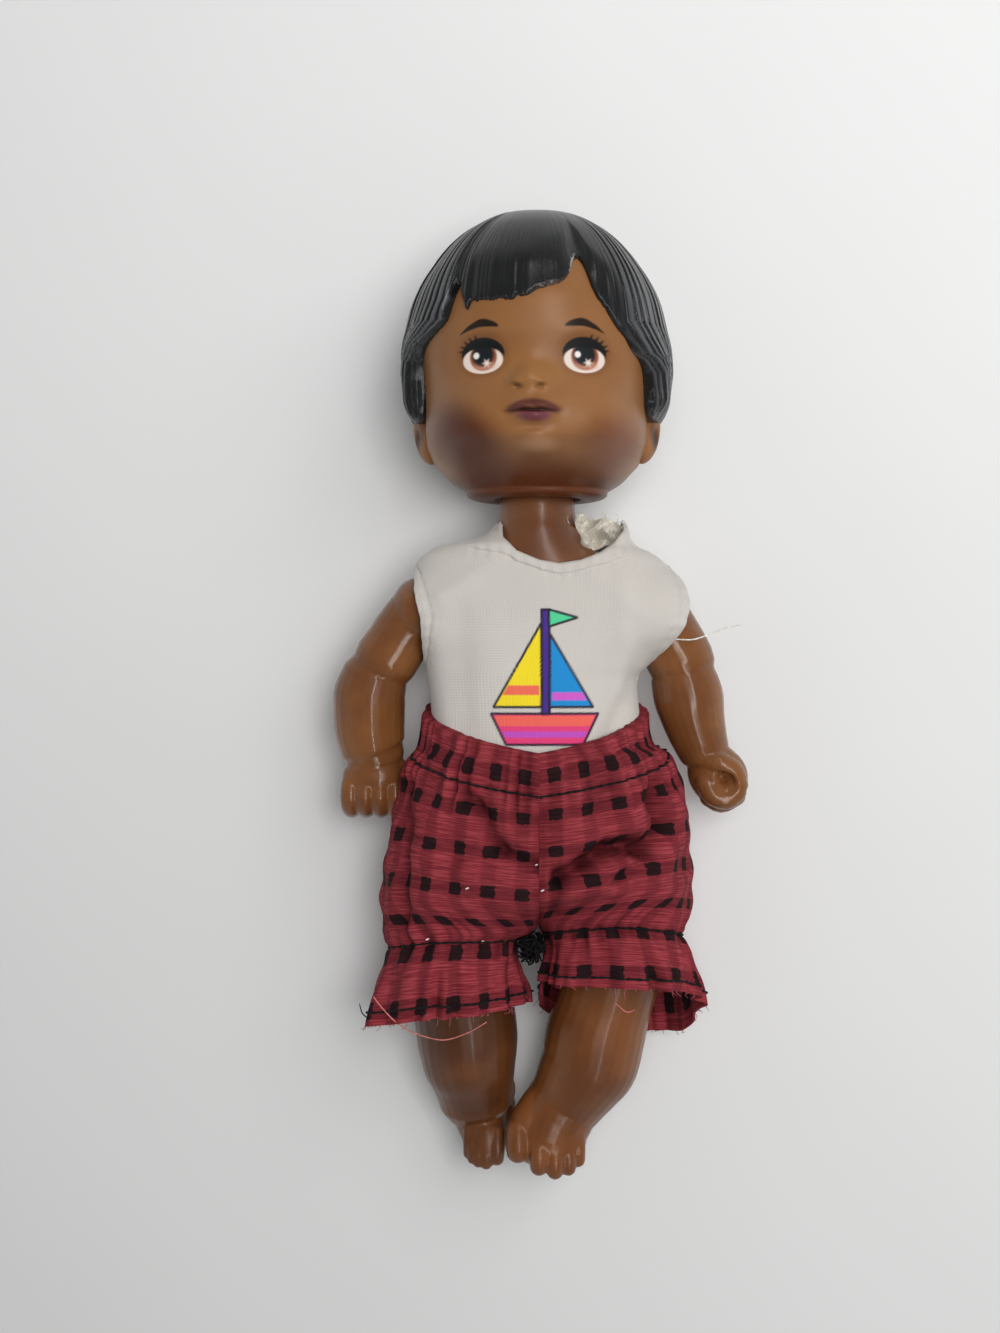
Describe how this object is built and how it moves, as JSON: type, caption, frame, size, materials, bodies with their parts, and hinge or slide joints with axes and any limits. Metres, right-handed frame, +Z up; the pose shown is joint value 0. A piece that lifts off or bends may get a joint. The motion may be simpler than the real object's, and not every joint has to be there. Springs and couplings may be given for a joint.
{
  "type": "baby doll",
  "caption": "Small jointed baby doll with a turning vinyl head, swinging arms and legs, a sleeveless knit top that closes at the back and gathered checked shorts.",
  "frame": {"origin": "under the middle of the doll's outline, on the surface that it lies on", "axes": "+X to the doll's left, +Y towards the crown, +Z up out of the chest: the doll lies on its back"},
  "size_m": [0.0506, 0.1152, 0.0313],
  "materials": {
    "skin": "smooth, a soft gloss",
    "head_vinyl": "soft vinyl with painted features and a glossy painted hair cap",
    "knit": "fine jersey knit",
    "checked_cotton": "plain-weave check",
    "elastic": "ribbed woven elastic",
    "tape": "fuzzy hook-and-loop tape"
  },
  "bodies": {
    "torso": {"torso_front_shell": "skin", "torso_back_shell": "skin", "shirt_front_panel": "knit", "shirt_back_left_panel": "knit", "shirt_back_right_panel": "knit", "closure_hook_tape": "tape", "closure_loop_tape": "tape", "waist_elastic": "elastic", "shorts_left_panel": "checked_cotton", "shorts_right_panel": "checked_cotton"},
    "head": {"head": "head_vinyl"},
    "left_arm": {"left_arm": "skin"},
    "right_arm": {"right_arm": "skin"},
    "left_leg": {"left_leg": "skin", "left_cuff_elastic": "elastic"},
    "right_leg": {"right_leg": "skin", "right_cuff_elastic": "elastic"}
  },
  "joints": [
    {"name": "neck_turn", "type": "hinge", "parent": "torso", "child": "head", "pos_m": [0.00044, 0.02472, 0.012], "axis": [0, 1, 0], "continuous": true},
    {"name": "left_shoulder", "type": "hinge", "parent": "torso", "child": "left_arm", "pos_m": [0.01274, 0.01112, 0.012], "axis": [-1, 0, 0], "continuous": true},
    {"name": "right_shoulder", "type": "hinge", "parent": "torso", "child": "right_arm", "pos_m": [-0.01186, 0.01112, 0.012], "axis": [-1, 0, 0], "continuous": true},
    {"name": "left_hip", "type": "hinge", "parent": "torso", "child": "left_leg", "pos_m": [0.00474, -0.01818, 0.012], "axis": [-1, 0, 0], "range_deg": [-30, 85], "deforming": ["shorts_left_panel"]},
    {"name": "right_hip", "type": "hinge", "parent": "torso", "child": "right_leg", "pos_m": [-0.00386, -0.01818, 0.012], "axis": [-1, 0, 0], "range_deg": [-30, 90], "deforming": ["shorts_right_panel"]}
  ]
}
